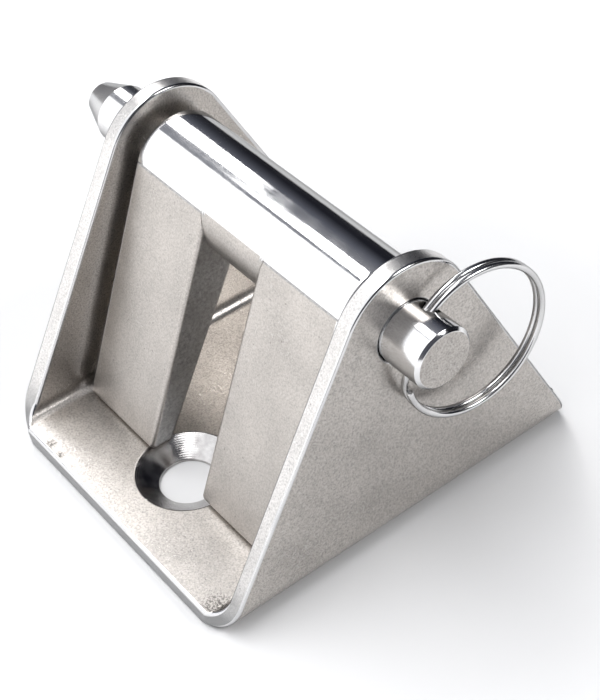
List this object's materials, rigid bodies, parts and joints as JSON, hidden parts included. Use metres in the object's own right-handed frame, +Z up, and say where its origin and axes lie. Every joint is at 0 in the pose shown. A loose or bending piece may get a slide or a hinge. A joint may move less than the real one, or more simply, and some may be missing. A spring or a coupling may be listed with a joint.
{
  "type": "anchor chain stopper",
  "caption": "Stainless deck chain stopper: U bracket with triangular cheeks, a forked flap that locks the chain, and a removable pin with a split ring.",
  "frame": {"origin": "centre of the bracket's underside, where it rests on the deck", "axes": "+X along the pin towards its ring end, +Y along the chain towards the rear, -Y is the side the flap leans to, +Z up from the deck"},
  "size_m": [0.0843, 0.071, 0.0522],
  "materials": {
    "bracket_steel": "blasted faces, polished edges",
    "flap_steel": "satin plate, polished barrel",
    "pin_steel": "turned and polished",
    "ring_wire": "bright drawn wire",
    "ball_steel": "bright",
    "spring_wire": "drawn wire"
  },
  "bodies": {
    "bracket": {"bracket": "bracket_steel"},
    "flap": {"flap": "flap_steel"},
    "pin": {"pin": "pin_steel", "detent_spring": "spring_wire"},
    "ring": {"split_ring": "ring_wire"},
    "ball": {"detent_ball": "ball_steel"}
  },
  "joints": [
    {"name": "flap_swing", "type": "hinge", "parent": "bracket", "child": "flap", "pos_m": [0, 0, 0.0409], "axis": [-1, 0, 0], "range_deg": [0, 295]},
    {"name": "pin_draw", "type": "slide", "parent": "bracket", "child": "pin", "axis": [1, 0, 0], "range_m": [0, 0.08]},
    {"name": "ring_swing", "type": "hinge", "parent": "pin", "child": "ring", "pos_m": [0.0321, 0, 0.0409], "axis": [0, 0.5, 0.866], "range_deg": [-176, 1.5]},
    {"name": "ball_press", "type": "slide", "parent": "pin", "child": "ball", "axis": [0, 0, 1], "range_m": [0, 0.0007], "deforming": ["detent_spring"]}
  ]
}
